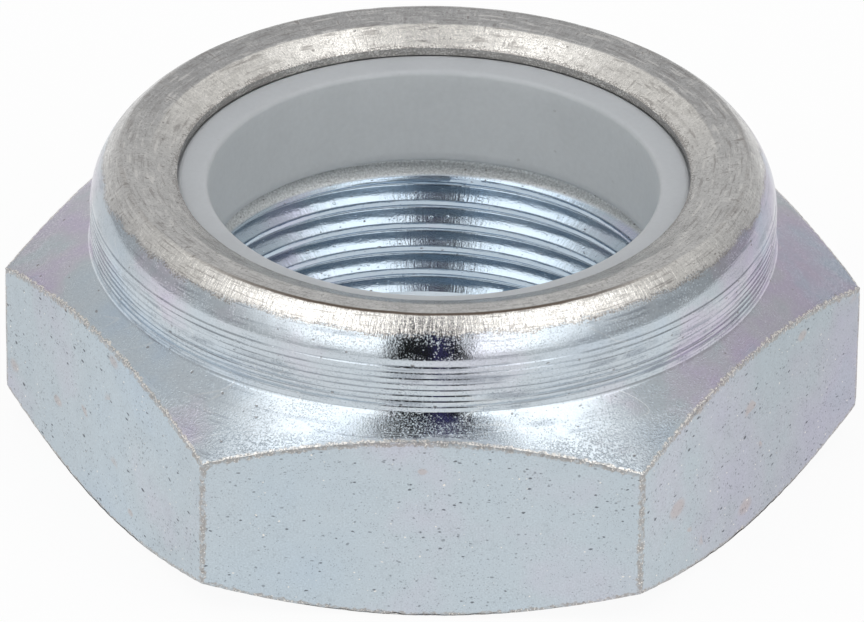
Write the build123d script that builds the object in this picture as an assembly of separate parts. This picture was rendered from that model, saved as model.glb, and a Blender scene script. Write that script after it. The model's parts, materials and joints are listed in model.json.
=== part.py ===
"""Nylon insert lock nut, thin pattern, for an M27 x 1.5 fine thread.

Two pieces: a steel nut turned from hexagon bar, and a nylon ring that the
nut's rolled rim holds in its collar. Millimetres, +Z up. The origin is the
centre of the bearing face, and two corners of the hexagon lie on the X axis.
Profiles are drawn as (radius, height) and revolved about Z. The thread is
left plain: the bore is its minor diameter.
"""

from build123d import *

import os
from math import cos, radians, sin, tan

# Thread
thread_diameter = 27.0
thread_pitch = 1.5

# Hexagon, bevelled at both ends by a cone
across_flats = 41.0
flat_height = 10.95
bearing_face_diameter = 40.7
bevel_angle = 28.0

# Collar above the hexagon, with a small fillet at its foot
collar_diameter = 37.8
foot_fillet = 0.35

# Rim of the collar, rolled inwards over the ring: a wide bend that ends at a
# corner, a pressed top, a knee, and a steeper face down to the thin tip
rim_outer_bend = 3.54
rim_bend_angle = 58.0
rim_top_angle = 10.0
rim_knee_diameter = 31.4
rim_face_angle = 24.0
rim_inner_diameter = 28.2
rim_tip_height = 16.05
rim_tip_thickness = 0.47
rim_underside_angle = 20.0

# Seat of the ring inside the collar
collar_wall = 1.7
seat_height = 9.6

# Countersinks of the thread, at the bearing face and under the ring
countersink_angle = 45.0
entry_countersink_depth = 1.0
seat_countersink_depth = 1.1

# Nylon ring
ring_bore_diameter = 24.8
ring_dish_depth = 0.13
ring_bore_chamfer = 0.3


def rise(run, angle):
    """Height gained over a horizontal run at an angle in degrees."""
    return run * tan(radians(angle))


def run(height, angle):
    """Horizontal run over which a slope at an angle in degrees gains a height."""
    return height / tan(radians(angle))


# Thread: a 60 degree profile, its crest in the nut flattened to 5/8 of the triangle
thread_triangle_height = thread_pitch * cos(radians(30))
minor_radius = thread_diameter / 2 - 5 / 8 * thread_triangle_height

# Radii from the axis
flat_distance = across_flats / 2
bearing_face_radius = bearing_face_diameter / 2
collar_radius = collar_diameter / 2
seat_radius = collar_radius - collar_wall
rim_corner_radius = collar_radius - rim_outer_bend * (1 - cos(radians(rim_bend_angle)))
rim_knee_radius = rim_knee_diameter / 2
rim_tip_radius = rim_inner_diameter / 2
ring_bore_radius = ring_bore_diameter / 2

# Heights above the bearing face
rim_tip_underside = rim_tip_height - rim_tip_thickness
rim_knee_height = rim_tip_height + rise(rim_knee_radius - rim_tip_radius, rim_face_angle)
rim_corner_height = rim_knee_height + rise(rim_corner_radius - rim_knee_radius, rim_top_angle)
rim_bend_start_height = rim_corner_height - rim_outer_bend * sin(radians(rim_bend_angle))
ring_shoulder_height = rim_tip_underside - rise(seat_radius - rim_tip_radius, rim_underside_angle)


def nearest_corner(profile, corner):
    """The vertex of a profile that lies nearest a (radius, height) point."""
    return profile.vertices().sort_by_distance(Vector(*corner))[0]


def revolved(profile):
    """The solid that a (radius, height) profile sweeps about the Z axis."""
    return revolve(Plane.XZ * profile, axis=Axis.Z)


def outer_profile():
    """Half the nut's outline: bearing face, two bevels, collar and rolled rim.

    The bevels' cones run on until they meet, outside the hexagon's corners.
    """
    cones_meet_radius = (flat_distance + bearing_face_radius + run(flat_height, bevel_angle)) / 2
    cones_meet = (cones_meet_radius, rise(cones_meet_radius - bearing_face_radius, bevel_angle))
    collar_foot = (collar_radius, flat_height + rise(flat_distance - collar_radius, bevel_angle))
    bend_start = (collar_radius, rim_bend_start_height)
    below = Polyline((0, 0), (bearing_face_radius, 0), cones_meet, collar_foot, bend_start)
    bend = JernArc(start=bend_start, tangent=(0, 1), radius=rim_outer_bend, arc_size=rim_bend_angle)
    above = Polyline(
        (rim_corner_radius, rim_corner_height),
        (rim_knee_radius, rim_knee_height),
        (rim_tip_radius, rim_tip_height),
        (0, rim_tip_height),
        (0, 0),
    )
    profile = make_face(below + bend + above)
    return fillet(nearest_corner(profile, collar_foot), foot_fillet)


def bore_profile():
    """Half the way through the nut: countersink, thread, countersink and mouth."""
    entry_radius = minor_radius + run(entry_countersink_depth, countersink_angle)
    seat_countersink_radius = minor_radius + run(seat_countersink_depth, countersink_angle)
    outline = Polyline(
        (0, 0),
        (entry_radius, 0),
        (minor_radius, entry_countersink_depth),
        (minor_radius, seat_height - seat_countersink_depth),
        (seat_countersink_radius, seat_height),
        (rim_tip_radius, seat_height),
        (rim_tip_radius, rim_tip_height),
        (0, rim_tip_height),
        close=True,
    )
    return make_face(outline)


def seat_profile():
    """Half the room under the rim, which the ring's outer part fills."""
    outline = Polyline(
        (rim_tip_radius, seat_height),
        (seat_radius, seat_height),
        (seat_radius, ring_shoulder_height),
        (rim_tip_radius, rim_tip_underside),
        close=True,
    )
    return make_face(outline)


def hexagon_bar():
    """The bar that the nut is turned from, with two corners on the X axis."""
    section = RegularPolygon(flat_distance, 6, major_radius=False)
    return extrude(section, rim_corner_height)


def nut_body():
    """The steel nut: its turned section, bounded by the flats of the bar."""
    section = outer_profile() - bore_profile() - seat_profile()
    return revolved(section) & hexagon_bar()


def nylon_ring():
    """The ring: its outer part fills the seat, its inner part grips the bolt."""
    bore_top = (ring_bore_radius, rim_tip_underside - ring_dish_depth)
    bore_bottom = (ring_bore_radius, seat_height)
    inner_outline = Polyline(
        bore_bottom,
        (rim_tip_radius, seat_height),
        (rim_tip_radius, rim_tip_underside),
        bore_top,
        close=True,
    )
    profile = make_face(inner_outline) + seat_profile()
    for bore_edge in (bore_top, bore_bottom):
        profile = chamfer(nearest_corner(profile, bore_edge), ring_bore_chamfer)
    return revolved(profile)


def main():
    """Write one STEP file for each piece."""
    os.makedirs("parts", exist_ok=True)
    export_step(nut_body(), "parts/nut_body.step")
    export_step(nylon_ring(), "parts/nylon_ring.step")


main()
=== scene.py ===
"""Nylon insert lock nut: the finished look of its steel body and its nylon ring.

Both pieces are meshes of rows that run once round the thread's axis, and each
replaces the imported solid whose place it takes. Lengths are metres, +Z is up,
the bearing face lies on the floor and two corners of the hexagon are on X.
"""

import json
import logging
import math
from dataclasses import dataclass
from enum import Enum
from typing import Any, Iterable, Sequence, Union

import bpy
import numpy as np
from mathutils import Matrix, Vector, noise


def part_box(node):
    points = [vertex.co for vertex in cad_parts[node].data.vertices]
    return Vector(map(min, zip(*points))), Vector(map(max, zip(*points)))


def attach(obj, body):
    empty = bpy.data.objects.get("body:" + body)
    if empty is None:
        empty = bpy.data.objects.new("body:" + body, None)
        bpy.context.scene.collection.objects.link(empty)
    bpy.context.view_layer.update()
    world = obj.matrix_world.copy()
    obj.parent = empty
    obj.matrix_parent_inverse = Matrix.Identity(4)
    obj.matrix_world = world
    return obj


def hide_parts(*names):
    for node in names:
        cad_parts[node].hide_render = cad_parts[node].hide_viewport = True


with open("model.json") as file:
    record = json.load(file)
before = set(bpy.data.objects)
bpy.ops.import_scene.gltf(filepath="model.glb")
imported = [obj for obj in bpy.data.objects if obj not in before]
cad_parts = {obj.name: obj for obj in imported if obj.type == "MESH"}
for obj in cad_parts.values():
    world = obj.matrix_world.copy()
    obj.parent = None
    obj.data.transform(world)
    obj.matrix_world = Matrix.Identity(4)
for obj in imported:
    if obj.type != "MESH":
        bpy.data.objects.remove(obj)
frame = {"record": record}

MM = 0.001
SECTOR = math.radians(60.0)
HALF_SECTOR = math.radians(30.0)
RING_COUNT = 8
RING_PITCH_MM = 0.346
LOWEST_RING_MM = 12.07

Socket = bpy.types.NodeSocket
Scalar = Union[float, Socket]
Colour = tuple[float, float, float, float]
Limits = tuple[float, float]

log = logging.getLogger("lock_nut")


# Shapes


class Zone(Enum):
    """The finishes that the steel body's surface is divided into."""

    FLAT = 0
    TURNED = 1
    THREAD = 2


@dataclass(frozen=True)
class NutSizes:
    """The nut's sizes in metres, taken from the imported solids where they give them."""

    flat_distance: float
    corner_distance: float
    entry_countersink_depth: float
    thread_minor_radius: float
    thread_top: float
    seat_height: float
    seat_radius: float
    rim_tip_underside: float
    ring_bore_radius: float
    ring_bore_chamfer: float
    rim_corner_height: float
    flat_height: float = 10.95 * MM
    bearing_face_radius: float = 20.35 * MM
    bevel_angle: float = math.radians(28.0)
    collar_radius: float = 18.9 * MM
    foot_fillet: float = 0.35 * MM
    rim_outer_bend: float = 3.54 * MM
    rim_bend_angle: float = math.radians(58.0)
    rim_knee_radius: float = 15.7 * MM
    rim_face_angle: float = math.radians(24.0)
    rim_tip_radius: float = 14.1 * MM
    rim_tip_height: float = 16.05 * MM
    rim_underside_angle: float = math.radians(20.0)
    ring_dish_depth: float = 0.13 * MM
    thread_pitch: float = 1.5 * MM
    thread_major_radius: float = 13.5 * MM

    @classmethod
    def from_frame(cls, record: dict[str, Any]) -> "NutSizes":
        """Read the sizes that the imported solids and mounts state.

        Args:
            record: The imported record, with the mounts.

        Returns:
            The nut's sizes.
        """
        mounts = {mount["name"]: mount for mount in record["mounts"]}
        thread, ring_bore = mounts["thread"], mounts["locking_bore"]
        body_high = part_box("nut_body")[1]
        ring_low, ring_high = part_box("nylon_ring")
        thread_start = thread["pos_m"][2]
        return cls(
            flat_distance=body_high.y,
            corner_distance=body_high.x,
            entry_countersink_depth=thread_start,
            thread_minor_radius=thread["dims"]["r_mm"] * MM,
            thread_top=thread_start + thread["dims"]["length_mm"] * MM,
            seat_height=ring_low.z,
            seat_radius=ring_high.x,
            rim_tip_underside=ring_high.z,
            ring_bore_radius=ring_bore["dims"]["r_mm"] * MM,
            ring_bore_chamfer=ring_bore["pos_m"][2] - ring_low.z,
            rim_corner_height=body_high.z,
        )

    @property
    def bevel_slope(self) -> float:
        """Height gained per unit of radius on the bevels."""
        return math.tan(self.bevel_angle)

    @property
    def fillet_tangent(self) -> float:
        """How far the foot's fillet reaches from the line where bevel and collar would meet."""
        return self.foot_fillet * math.tan((math.pi / 2 - self.bevel_angle) / 2)

    @property
    def rim_corner_radius(self) -> float:
        """Radius of the corner where the rim's outer bend ends."""
        return self.collar_radius - self.rim_outer_bend * (1.0 - math.cos(self.rim_bend_angle))

    @property
    def rim_bend_start_height(self) -> float:
        """Height at which the collar's wall starts to bend inwards."""
        return self.rim_corner_height - self.rim_outer_bend * math.sin(self.rim_bend_angle)

    def wall_radius(self, height: float) -> float:
        """Radius of the collar's outside at a height, on its wall or on the bend above it."""
        over = max(0.0, height - self.rim_bend_start_height)
        centre_radius = self.collar_radius - self.rim_outer_bend
        return centre_radius + math.sqrt(self.rim_outer_bend**2 - over**2)

    @property
    def rim_knee_height(self) -> float:
        """Height of the knee between the rim's pressed top and its inner face."""
        run = self.rim_knee_radius - self.rim_tip_radius
        return self.rim_tip_height + run * math.tan(self.rim_face_angle)

    @property
    def ring_shoulder_height(self) -> float:
        """Height at which the ring's outer wall meets the rim's underside."""
        fall = (self.seat_radius - self.rim_tip_radius) * math.tan(self.rim_underside_angle)
        return self.rim_tip_underside - fall

    def lower_bevel_height(self, radius: np.ndarray) -> np.ndarray:
        """Height of the lower bevel at each radius."""
        return (radius - self.bearing_face_radius) * self.bevel_slope

    def upper_bevel_height(self, radius: np.ndarray) -> np.ndarray:
        """Height of the upper bevel at each radius."""
        return self.flat_height + (self.flat_distance - radius) * self.bevel_slope


def smooth_noise(points: np.ndarray, grain: float, seed: float) -> np.ndarray:
    """Smooth noise in space.

    Args:
        points: Positions, one row each.
        grain: Size of the noise's features in metres.
        seed: Shifts the noise, so that two uses differ.

    Returns:
        A value from about -1 to 1 for each point.
    """
    shift = Vector((seed, 1.7 * seed, -2.3 * seed))
    return np.array([noise.noise(Vector(point) / grain + shift) for point in points])


class RingRows:
    """A surface built from rows of points that each run once round the axis."""

    def __init__(self, angles: np.ndarray) -> None:
        """Start with no rows.

        Args:
            angles: The angle of each column about the axis, rising from 0.
        """
        self.angles = angles
        self.directions = np.stack([np.cos(angles), np.sin(angles), np.zeros_like(angles)], axis=1)
        self.points: list[np.ndarray] = []
        self.wear: list[np.ndarray] = []
        self.faces: list[tuple[int, ...]] = []
        self.zones: list[int] = []

    @property
    def columns(self) -> int:
        """How many points a row has."""
        return len(self.angles)

    def place(self, radius: Any, height: Any) -> np.ndarray:
        """The points of a row, from one radius and height or one of each per column."""
        points = self.directions * (np.ones(self.columns) * radius)[:, None]
        points[:, 2] = height
        return points

    def row(self, points: np.ndarray, wear: Any = 0.0) -> np.ndarray:
        """Add a row of points.

        Args:
            points: One point for each column.
            wear: How worn the edge is there, from 0 to 1.

        Returns:
            The indices of the new points.
        """
        start = len(self.points) * self.columns
        self.points.append(points)
        self.wear.append(np.ones(self.columns) * wear)
        return np.arange(start, start + self.columns)

    def circle(self, radius: Any, height: Any, wear: Any = 0.0) -> np.ndarray:
        """Add a row from its radius and height, and return its indices."""
        return self.row(self.place(radius, height), wear)

    def join(self, first: np.ndarray, second: np.ndarray, zone: Zone) -> None:
        """Join two rows with a band of faces, whose outside is on the right of the way there."""
        self.patch(zip(first, np.roll(first, -1), np.roll(second, -1), second), zone)

    def patch(self, corners: Iterable[Sequence[int]], zone: Zone) -> None:
        """Add faces, leaving out repeated corners.

        Args:
            corners: For each face, its corner indices in order.
            zone: The finish of the faces.
        """
        for face in corners:
            distinct = tuple(dict.fromkeys(int(corner) for corner in face))
            if len(distinct) > 2:
                self.faces.append(distinct)
                self.zones.append(zone.value)

    def mesh(self, name: str, sharp_angle: float) -> bpy.types.Mesh:
        """Make a mesh of the rows.

        Args:
            name: The mesh's name.
            sharp_angle: Edges that turn by more than this stay sharp.

        Returns:
            A smooth shaded mesh, with the wear as a point attribute.
        """
        points = np.concatenate(self.points)
        used = np.unique([corner for face in self.faces for corner in face])
        place = np.full(len(points), -1)
        place[used] = np.arange(len(used))
        faces = [[int(place[corner]) for corner in face] for face in self.faces]
        mesh = bpy.data.meshes.new(name)
        mesh.from_pydata(points[used].tolist(), [], faces)
        mesh.polygons.foreach_set("material_index", self.zones)
        mesh.polygons.foreach_set("use_smooth", [True] * len(self.faces))
        wear = mesh.attributes.new("wear", "FLOAT", "POINT")
        wear.data.foreach_set("value", np.concatenate(self.wear)[used])
        mesh.update()
        mesh.set_sharp_from_angle(angle=sharp_angle)
        return mesh


@dataclass(frozen=True)
class EdgeRows:
    """How the hexagon's edges are rounded and chipped; the fine chips' size and depth are shares."""

    steps: tuple[float, ...] = (0.0, 0.05 * MM, 0.13 * MM, 0.26 * MM, 0.45 * MM)
    fade: float = 0.3 * MM
    round_depth: float = 0.035 * MM
    chip_depth: float = 0.09 * MM
    chip_size: float = 0.55 * MM
    fine_chip_size: float = 0.4
    fine_chip_depth: float = 0.5
    fine_chip_shift: float = 5.0

    def setback(self, points: np.ndarray, distance: Any, seed: float) -> np.ndarray:
        """How far a worn edge lies inside the sharp one.

        Args:
            points: The sharp surface's points.
            distance: Their distance from the edge.
            seed: Shifts the noise of the chips.

        Returns:
            A length for each point, 0 away from the edge.
        """
        nearness = np.clip(1.0 - np.asarray(distance) / self.fade, 0.0, 1.0) ** 2
        chips = np.clip(smooth_noise(points, self.chip_size, seed), 0.0, 1.0)
        finer = smooth_noise(points, self.fine_chip_size * self.chip_size, seed + self.fine_chip_shift)
        fine = np.clip(finer, 0.0, 1.0)
        return nearness * (self.round_depth + self.chip_depth * (chips + self.fine_chip_depth * fine))


@dataclass
class NutBody:
    """The steel nut: hexagon, bevels, collar with turned rings, rolled rim and thread.

    Shares are parts of the width or height that they belong to, and the dents'
    grain is a part of the rim's.
    """

    sizes: NutSizes
    edges: EdgeRows = EdgeRows()
    columns_per_flat: int = 96
    edge_seed: float = 3.0
    face_rings: int = 4
    lower_bevel_shares: tuple[float, ...] = (0.7, 0.35, 0.12, 0.03)
    flat_shares: tuple[float, ...] = (0.25, 0.5, 0.75)
    upper_bevel_shares: tuple[float, ...] = (0.25, 0.5, 0.75, 1.0)
    foot_rows: int = 6
    ring_count: int = RING_COUNT
    ring_pitch: float = RING_PITCH_MM * MM
    lowest_ring_height: float = LOWEST_RING_MM * MM
    ring_depth: float = 0.035 * MM
    ring_cut: tuple[tuple[float, float], ...] = (
        (-0.10 * MM, 0.0),
        (-0.08 * MM, 0.12),
        (-0.02 * MM, 0.88),
        (0.0, 1.0),
        (0.03 * MM, 0.95),
    )
    ring_unevenness: float = 0.5
    ring_grain: float = 6.0 * MM
    bend_rows: int = 14
    top_rows: int = 9
    face_rows: int = 9
    corner_softness: float = 0.11 * MM
    rim_unevenness: float = 0.03 * MM
    rim_grain: float = 3.0 * MM
    rim_seed: float = 12.0
    dent_depth: float = 0.02 * MM
    dent_grain: float = 0.25
    dent_seed: float = 15.0
    smooth_share: float = 0.3
    thread_crest_height: float = 0.51 * MM
    thread_ease: float = 0.035 * MM
    thread_ease_depths: Limits = (0.07, 0.93)
    sharp_angle: float = math.radians(40.0)

    def __post_init__(self) -> None:
        """Set out the columns, which are closer together beside the hexagon's corners."""
        half = self.sizes.flat_distance * math.tan(HALF_SECTOR)
        steps = np.array(self.edges.steps)
        middle = self.columns_per_flat - 2 * (len(steps) - 1)
        inner = np.linspace(steps[-1] - half, half - steps[-1], middle + 1)
        along = np.concatenate([steps[:-1] - half, inner, half - steps[-2:0:-1]])
        turn = np.arctan2(along, self.sizes.flat_distance)
        sectors = [turn + HALF_SECTOR + sector * SECTOR for sector in range(6)]
        self.rows = RingRows(np.concatenate(sectors))
        self.from_corner = np.tile(half - np.abs(along), 6)
        self.flat_radius = self.sizes.flat_distance / np.cos(np.tile(turn, 6))

    def hexagon_row(self, height: np.ndarray, from_edge: float) -> np.ndarray:
        """Add a row on the flats.

        Args:
            height: The height at each column.
            from_edge: Distance of the row from the nearer bevel.

        Returns:
            The row's indices.
        """
        sharp = self.rows.place(self.flat_radius, height)
        distance = np.minimum(self.from_corner, from_edge)
        setback = self.edges.setback(sharp, distance, self.edge_seed)
        wear = np.clip(1.0 - distance / self.edges.steps[-1], 0.0, 1.0)
        return self.rows.circle(self.flat_radius - setback, height, wear)

    def bevel_row(self, inward: np.ndarray, upper: bool) -> np.ndarray:
        """Add a row on a bevel.

        Args:
            inward: How far inside the flats it lies at each column.
            upper: Whether it is the bevel under the collar.

        Returns:
            The row's indices.
        """
        radius = self.flat_radius - inward
        bevel = self.sizes.upper_bevel_height if upper else self.sizes.lower_bevel_height
        height = bevel(radius)
        sharp = self.rows.place(radius, height)
        setback = self.edges.setback(sharp, inward, self.edge_seed)
        wear = np.clip(1.0 - inward / self.edges.steps[-1], 0.0, 1.0)
        direction = -1.0 if upper else 1.0
        return self.rows.circle(radius, height + direction * setback, wear)

    def underside(self) -> list[np.ndarray]:
        """The bearing face from its countersink outwards, and the lower bevel."""
        sizes = self.sizes
        entry_radius = sizes.thread_minor_radius + sizes.entry_countersink_depth
        radii = np.linspace(entry_radius, sizes.bearing_face_radius, self.face_rings)
        rows = [self.rows.circle(radius, 0.0) for radius in radii]
        width = self.flat_radius - sizes.bearing_face_radius
        rows += [self.bevel_row(width * share, False) for share in self.lower_bevel_shares]
        return rows

    def flats(self) -> list[np.ndarray]:
        """The hexagon's six flats, from the lower bevel to the upper one."""
        low = self.sizes.lower_bevel_height(self.flat_radius)
        high = self.sizes.upper_bevel_height(self.flat_radius)
        steps = self.edges.steps
        rows = [self.hexagon_row(low + step, step) for step in steps]
        rows += [self.hexagon_row(low + (high - low) * share, steps[-1]) for share in self.flat_shares]
        rows += [self.hexagon_row(high - step, step) for step in reversed(steps)]
        return rows

    def upper_bevel(self) -> list[np.ndarray]:
        """The cone from the flats in to the fillet at the collar's foot."""
        sizes = self.sizes
        fillet_edge = sizes.collar_radius + sizes.fillet_tangent * math.cos(sizes.bevel_angle)
        width = self.flat_radius - fillet_edge
        rows = [self.bevel_row(np.full_like(width, step), True) for step in self.edges.steps[1:]]
        last = self.edges.steps[-1]
        rows += [self.bevel_row(last + (width - last) * share, True) for share in self.upper_bevel_shares]
        return rows

    def foot(self) -> list[np.ndarray]:
        """The fillet between the upper bevel and the collar."""
        sizes = self.sizes
        centre_radius = sizes.collar_radius + sizes.foot_fillet
        centre_height = sizes.upper_bevel_height(sizes.collar_radius) + sizes.fillet_tangent
        start = math.radians(270.0) - sizes.bevel_angle
        rows = []
        for turn in np.linspace(start, math.pi, self.foot_rows + 1)[1:]:
            radius = centre_radius + sizes.foot_fillet * math.cos(turn)
            rows.append(self.rows.circle(radius, centre_height + sizes.foot_fillet * math.sin(turn)))
        return rows

    @property
    def highest_ring_top(self) -> float:
        """Height at which the turned rings end."""
        return self.lowest_ring_height + (self.ring_count - 0.5) * self.ring_pitch + self.ring_cut[-1][0]

    def collar(self) -> list[np.ndarray]:
        """The collar's wall with its turned rings."""
        rows = []
        for ring in range(self.ring_count):
            middle = self.lowest_ring_height + (ring + 0.5) * self.ring_pitch
            line = self.rows.place(self.sizes.collar_radius, middle)
            uneven = smooth_noise(line, self.ring_grain, float(ring))
            depth = self.ring_depth * (1.0 + self.ring_unevenness * uneven)
            for rise, share in self.ring_cut:
                radius = self.sizes.wall_radius(middle + rise) - share * depth
                rows.append(self.rows.circle(radius, middle + rise))
        return rows

    def rim_profile(self) -> list[tuple[float, float]]:
        """The rim as radius and height: its outer bend, worn corner, pressed top, knee and inner face."""
        sizes = self.sizes
        bend, soft = sizes.rim_outer_bend, self.corner_softness
        centre_radius = sizes.collar_radius - bend
        points = []
        first_turn = math.asin((self.highest_ring_top - sizes.rim_bend_start_height) / bend)
        for turn in np.linspace(first_turn, sizes.rim_bend_angle - soft / bend, self.bend_rows + 1)[1:]:
            height = sizes.rim_bend_start_height + bend * math.sin(turn)
            points.append((centre_radius + bend * math.cos(turn), height))
        corner = (sizes.rim_corner_radius, sizes.rim_corner_height)
        knee = (sizes.rim_knee_radius, sizes.rim_knee_height)
        tip = (sizes.rim_tip_radius, sizes.rim_tip_height)
        for start, end, rows in ((corner, knee, self.top_rows), (knee, tip, self.face_rows)):
            run, fall = end[0] - start[0], end[1] - start[1]
            length = math.hypot(run, fall)
            first = soft / length
            for share in np.linspace(first, 1.0 - first, rows):
                points.append((start[0] + run * share, start[1] + fall * share))
        points.append(tip)
        return points

    def rim(self) -> list[np.ndarray]:
        """The rim's rows, uneven and dented wherever they lie above the lowest part of its bend."""
        smooth_top = self.sizes.rim_bend_start_height + self.smooth_share * self.sizes.rim_outer_bend
        rows = []
        for radius, height in self.rim_profile():
            sharp = self.rows.place(radius, height)
            beaten = self.rim_unevenness * smooth_noise(sharp, self.rim_grain, self.rim_seed)
            dents = smooth_noise(sharp, self.dent_grain * self.rim_grain, self.dent_seed)
            dented = self.dent_depth * np.clip(dents, 0.0, 1.0)
            top = 0.0 if height < smooth_top else 1.0
            rows.append(self.rows.circle(radius, height - top * (np.abs(beaten) + dented)))
        return rows

    def seat(self) -> list[np.ndarray]:
        """The rim's tip and the seat behind the ring, down to its countersink."""
        sizes = self.sizes
        countersink_radius = sizes.thread_minor_radius + sizes.seat_height - sizes.thread_top
        profile = (
            (sizes.rim_tip_radius, sizes.rim_tip_underside),
            (sizes.seat_radius, sizes.ring_shoulder_height),
            (sizes.seat_radius, sizes.seat_height),
            (countersink_radius, sizes.seat_height),
        )
        return [self.rows.circle(radius, height) for radius, height in profile]

    def thread(self, top: np.ndarray, bottom: np.ndarray) -> None:
        """The right-hand thread and the two countersinks that cut its ends.

        Each row climbs one pitch over its turn, so it ends on the row a pitch above.

        Args:
            top: The row at the upper countersink's edge.
            bottom: The row at the lower countersink's edge.
        """
        sizes = self.sizes
        pitch = sizes.thread_pitch
        depth = sizes.thread_major_radius - sizes.thread_minor_radius
        crest, flank = pitch / 8, pitch / 8 + pitch * 5 / 16
        ease = self.thread_ease
        shallow, deep = self.thread_ease_depths
        profile = (
            (crest - ease, 0.0),
            (crest + ease, shallow),
            (flank - ease, deep),
            (flank + ease, 1.0),
            (pitch - flank - ease, 1.0),
            (pitch - flank + ease, deep),
            (pitch - crest - ease, shallow),
            (pitch - crest + ease, 0.0),
        )
        turns = math.ceil(sizes.seat_height / pitch) + 2
        rises = [turn * pitch + offset for turn in range(-1, turns) for offset, _ in profile]
        depths = [share * depth for _ in range(-1, turns) for _, share in profile]
        order = np.argsort(rises)[::-1]
        climb = pitch * self.rows.angles / (2.0 * math.pi)
        lanes = []
        for index in order:
            height = self.thread_crest_height + rises[index] + climb - pitch
            radius = sizes.thread_minor_radius + depths[index]
            entry = sizes.thread_minor_radius + sizes.entry_countersink_depth - height
            leaving = sizes.thread_minor_radius + height - sizes.thread_top
            radius = np.maximum(radius, np.maximum(entry, leaving))
            lane = self.rows.circle(radius, np.clip(height, 0.0, sizes.seat_height))
            lane = np.where(height >= sizes.seat_height, top, lane)
            lanes.append(np.where(height <= 0.0, bottom, lane))
        per_turn = len(profile)
        for place in range(len(lanes) - 1):
            upper, lower = lanes[place], lanes[place + 1]
            next_upper, next_lower = np.roll(upper, -1), np.roll(lower, -1)
            next_upper[-1] = lanes[place - per_turn][0] if place >= per_turn else top[0]
            next_lower[-1] = lanes[place + 1 - per_turn][0] if place + 1 >= per_turn else top[0]
            self.rows.patch(zip(upper, next_upper, next_lower, lower), Zone.THREAD)

    def build(self) -> bpy.types.Object:
        """Build the body's mesh and object."""
        sections = (
            (self.underside(), Zone.TURNED),
            (self.flats(), Zone.FLAT),
            (self.upper_bevel(), Zone.TURNED),
            (self.foot(), Zone.TURNED),
            (self.collar(), Zone.TURNED),
            (self.rim(), Zone.TURNED),
            (self.seat(), Zone.TURNED),
        )
        previous = None
        for rows, zone in sections:
            for row in rows:
                if previous is not None:
                    self.rows.join(previous, row, zone)
                previous = row
        self.thread(top=previous, bottom=sections[0][0][0])
        mesh = self.rows.mesh("lock_nut_body", self.sharp_angle)
        return bpy.data.objects.new("lock_nut_body", mesh)


@dataclass
class NylonRing:
    """The nylon ring, with its soft bore edge and the crease along the rim's tip.

    The crease's shoulder is given in parts of the crease's width and depth.
    """

    sizes: NutSizes
    columns: int = 384
    wall_rows: int = 12
    top_rows: int = 9
    edge_round: float = 0.28 * MM
    crease_depth: float = 0.1 * MM
    crease_width: float = 0.12 * MM
    hidden_gap: float = 0.01 * MM
    edge_rows: int = 5
    crease_shoulder: tuple[float, float] = (0.3, 0.6)
    unevenness: float = 0.015 * MM
    unevenness_size: float = 5.0 * MM
    seed: float = 9.0
    sharp_angle: float = math.radians(50.0)

    def profile(self) -> list[tuple[float, float]]:
        """The ring's section as radius and height, once round."""
        sizes = self.sizes
        bore, floor = sizes.ring_bore_radius, sizes.seat_height + self.hidden_gap
        outer = sizes.seat_radius - self.hidden_gap
        top = sizes.rim_tip_underside - sizes.ring_dish_depth
        tip = sizes.rim_tip_radius
        shoulder = sizes.ring_shoulder_height - self.hidden_gap
        wall_bottom = floor + sizes.ring_bore_chamfer
        points = [(outer, shoulder), (outer, floor), (bore + sizes.ring_bore_chamfer, floor)]
        points += [(bore, z) for z in np.linspace(wall_bottom, top - self.edge_round, self.wall_rows)]
        for turn in np.linspace(math.pi, math.pi / 2, self.edge_rows + 1)[1:]:
            height = top - self.edge_round * (1.0 - math.sin(turn))
            points.append((bore + self.edge_round * (1.0 + math.cos(turn)), height))
        first, last = bore + self.edge_round, tip - self.crease_width
        for share in np.linspace(0.0, 1.0, self.top_rows)[1:]:
            radius = first + (last - first) * share
            points.append((radius, top + sizes.ring_dish_depth * share))
        back, down = self.crease_shoulder
        edge = top + sizes.ring_dish_depth
        points.append((tip - back * self.crease_width, edge - down * self.crease_depth))
        points.append((tip + self.hidden_gap, edge - self.crease_depth))
        return points

    def build(self) -> bpy.types.Object:
        """Build the ring's mesh and object."""
        rows = RingRows(np.linspace(0.0, 2.0 * math.pi, self.columns, endpoint=False))
        lines = []
        floor = self.sizes.seat_height + self.hidden_gap
        for radius, height in self.profile():
            sharp = rows.place(radius, height)
            swell = self.unevenness * smooth_noise(sharp, self.unevenness_size, self.seed)
            visible = radius < self.sizes.rim_tip_radius and height > floor
            lines.append(rows.row(rows.place(radius + swell, height) if visible else sharp))
        for first, second in zip(lines, lines[1:] + lines[:1]):
            rows.join(second, first, Zone.FLAT)
        return bpy.data.objects.new("lock_nut_nylon", rows.mesh("lock_nut_nylon", self.sharp_angle))


# Shader nodes


WHITE: Colour = (1.0, 1.0, 1.0, 1.0)


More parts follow.
